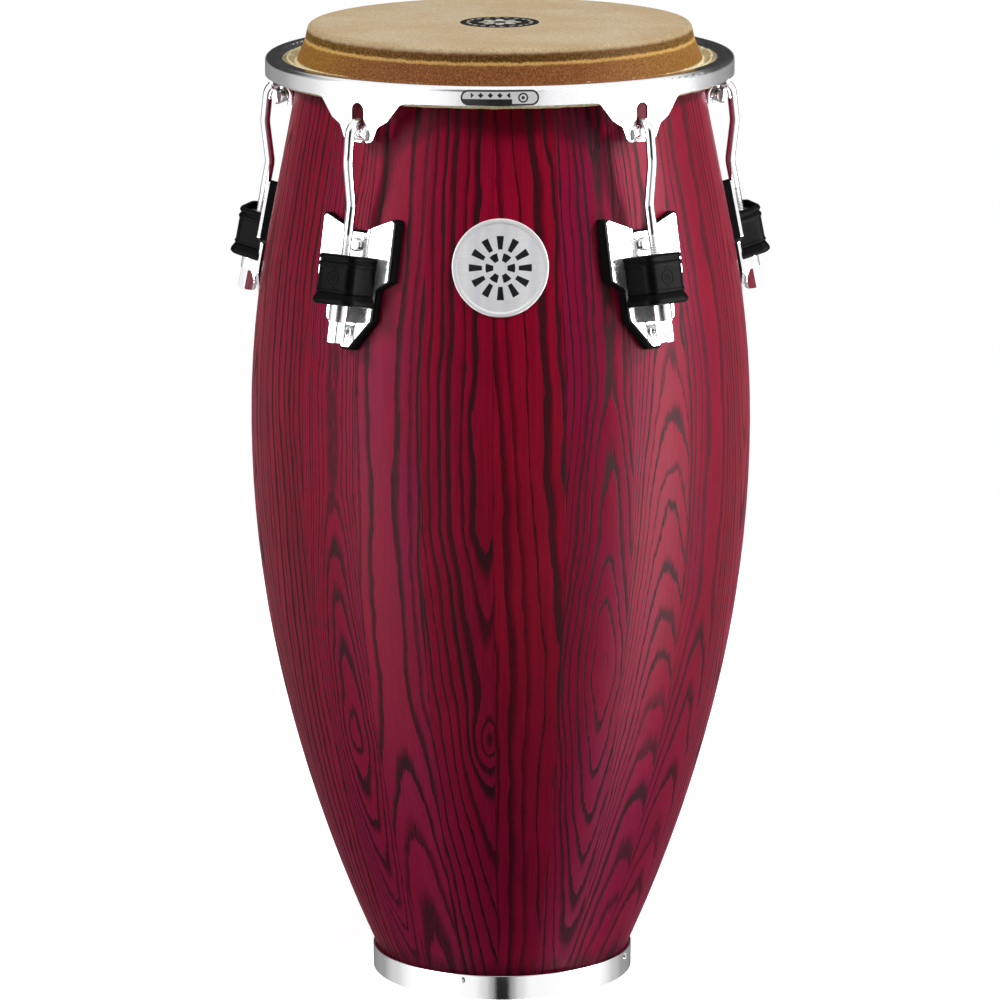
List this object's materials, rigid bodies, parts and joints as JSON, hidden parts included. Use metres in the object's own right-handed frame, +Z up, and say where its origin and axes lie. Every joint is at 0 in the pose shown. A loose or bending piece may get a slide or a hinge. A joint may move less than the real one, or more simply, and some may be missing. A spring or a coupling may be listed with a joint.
{
  "type": "conga drum",
  "caption": "Barrel-shaped hand drum: stained stave shell on a steel foot ring, rawhide head under a rolled rim drawn down by hook bolts with rubber-sleeved lugs.",
  "frame": {"origin": "on the drum's axis, at the floor, in the middle of the foot ring's lower face", "axes": "+Z up along the drum's axis; -Y is the front, with the badge and the rim label; one hook bolt is at the back, at +Y"},
  "size_m": [0.4294, 0.4187, 0.7622],
  "materials": {
    "shell_wood": "satin, crimson stain over open-grain ash",
    "foot_chrome": "polished",
    "screw_steel": "plated",
    "rawhide": "matt, mottled",
    "hoop_steel": "plain",
    "head_print": "printed disc",
    "rim_chrome": "polished",
    "label_print": "glossy domed label",
    "gasket_rubber": "matt",
    "lug_chrome": "polished",
    "sleeve_rubber": "satin moulded",
    "rod_chrome": "polished",
    "nut_chrome": "polished",
    "fastener_steel": "plated",
    "badge_metal": "brushed with a polished edge"
  },
  "bodies": {
    "shell": {"stave_01": "shell_wood", "stave_02": "shell_wood", "stave_03": "shell_wood", "stave_04": "shell_wood", "stave_05": "shell_wood", "stave_06": "shell_wood", "stave_07": "shell_wood", "stave_08": "shell_wood", "stave_09": "shell_wood", "stave_10": "shell_wood", "stave_11": "shell_wood", "stave_12": "shell_wood", "stave_13": "shell_wood", "stave_14": "shell_wood", "stave_15": "shell_wood", "stave_16": "shell_wood", "stave_17": "shell_wood", "stave_18": "shell_wood", "stave_19": "shell_wood", "stave_20": "shell_wood", "stave_21": "shell_wood", "stave_22": "shell_wood", "base_ring": "foot_chrome", "base_ring_screws": "screw_steel", "lug_gasket_1": "gasket_rubber", "lug_gasket_2": "gasket_rubber", "lug_gasket_3": "gasket_rubber", "lug_gasket_4": "gasket_rubber", "lug_gasket_5": "gasket_rubber", "lug_plate_1": "lug_chrome", "lug_plate_2": "lug_chrome", "lug_plate_3": "lug_chrome", "lug_plate_4": "lug_chrome", "lug_plate_5": "lug_chrome", "rubber_sleeve_1": "sleeve_rubber", "rubber_sleeve_2": "sleeve_rubber", "rubber_sleeve_3": "sleeve_rubber", "rubber_sleeve_4": "sleeve_rubber", "rubber_sleeve_5": "sleeve_rubber", "lug_bolts": "fastener_steel", "lug_backing_washers": "fastener_steel", "lug_backing_nuts": "fastener_steel", "badge": "badge_metal"},
    "rim": {"rim": "rim_chrome", "rim_label": "label_print", "head_skin": "rawhide", "flesh_hoop": "hoop_steel", "head_label": "head_print"},
    "hook_1": {"hook_bolt_1": "rod_chrome"},
    "nut_1": {"tuning_nut_1": "nut_chrome"},
    "hook_2": {"hook_bolt_2": "rod_chrome"},
    "nut_2": {"tuning_nut_2": "nut_chrome"},
    "hook_3": {"hook_bolt_3": "rod_chrome"},
    "nut_3": {"tuning_nut_3": "nut_chrome"},
    "hook_4": {"hook_bolt_4": "rod_chrome"},
    "nut_4": {"tuning_nut_4": "nut_chrome"},
    "hook_5": {"hook_bolt_5": "rod_chrome"},
    "nut_5": {"tuning_nut_5": "nut_chrome"}
  },
  "joints": [
    {"name": "rim_lift", "type": "slide", "parent": "shell", "child": "rim", "axis": [0, 0, 1], "range_m": [0, 0.00784]},
    {"name": "nut_1_turn", "type": "hinge", "parent": "shell", "child": "nut_1", "pos_m": [0.12397, -0.17063, 0.54895], "axis": [0.1172, -0.1613, -0.9799], "range_deg": [0, 2304]},
    {"name": "hook_1_slide", "type": "slide", "parent": "rim", "child": "hook_1", "axis": [-0.5878, 0.809, 0], "range_m": [0, 0.0016]},
    {"name": "nut_2_turn", "type": "hinge", "parent": "shell", "child": "nut_2", "pos_m": [0.20059, 0.06517, 0.54895], "axis": [0.1896, 0.0616, -0.9799], "range_deg": [0, 2304]},
    {"name": "hook_2_slide", "type": "slide", "parent": "rim", "child": "hook_2", "axis": [-0.9511, -0.309, 0], "range_m": [0, 0.0016]},
    {"name": "nut_3_turn", "type": "hinge", "parent": "shell", "child": "nut_3", "pos_m": [0, 0.21091, 0.54895], "axis": [0, 0.1994, -0.9799], "range_deg": [0, 2304]},
    {"name": "hook_3_slide", "type": "slide", "parent": "rim", "child": "hook_3", "axis": [0, -1, 0], "range_m": [0, 0.0016]},
    {"name": "nut_4_turn", "type": "hinge", "parent": "shell", "child": "nut_4", "pos_m": [-0.20059, 0.06517, 0.54895], "axis": [-0.1896, 0.0616, -0.9799], "range_deg": [0, 2304]},
    {"name": "hook_4_slide", "type": "slide", "parent": "rim", "child": "hook_4", "axis": [0.9511, -0.309, 0], "range_m": [0, 0.0016]},
    {"name": "nut_5_turn", "type": "hinge", "parent": "shell", "child": "nut_5", "pos_m": [-0.12397, -0.17063, 0.54895], "axis": [-0.1172, -0.1613, -0.9799], "range_deg": [0, 2304]},
    {"name": "hook_5_slide", "type": "slide", "parent": "rim", "child": "hook_5", "axis": [0.5878, 0.809, 0], "range_m": [0, 0.0016]}
  ],
  "couplings": [
    {"joint": "nut_1_turn", "follows": "rim_lift", "rad_per_m": 5126.5},
    {"joint": "hook_1_slide", "follows": "rim_lift", "ratio": 0.20345},
    {"joint": "nut_2_turn", "follows": "rim_lift", "rad_per_m": 5126.5},
    {"joint": "hook_2_slide", "follows": "rim_lift", "ratio": 0.20345},
    {"joint": "nut_3_turn", "follows": "rim_lift", "rad_per_m": 5126.5},
    {"joint": "hook_3_slide", "follows": "rim_lift", "ratio": 0.20345},
    {"joint": "nut_4_turn", "follows": "rim_lift", "rad_per_m": 5126.5},
    {"joint": "hook_4_slide", "follows": "rim_lift", "ratio": 0.20345},
    {"joint": "nut_5_turn", "follows": "rim_lift", "rad_per_m": 5126.5},
    {"joint": "hook_5_slide", "follows": "rim_lift", "ratio": 0.20345}
  ]
}
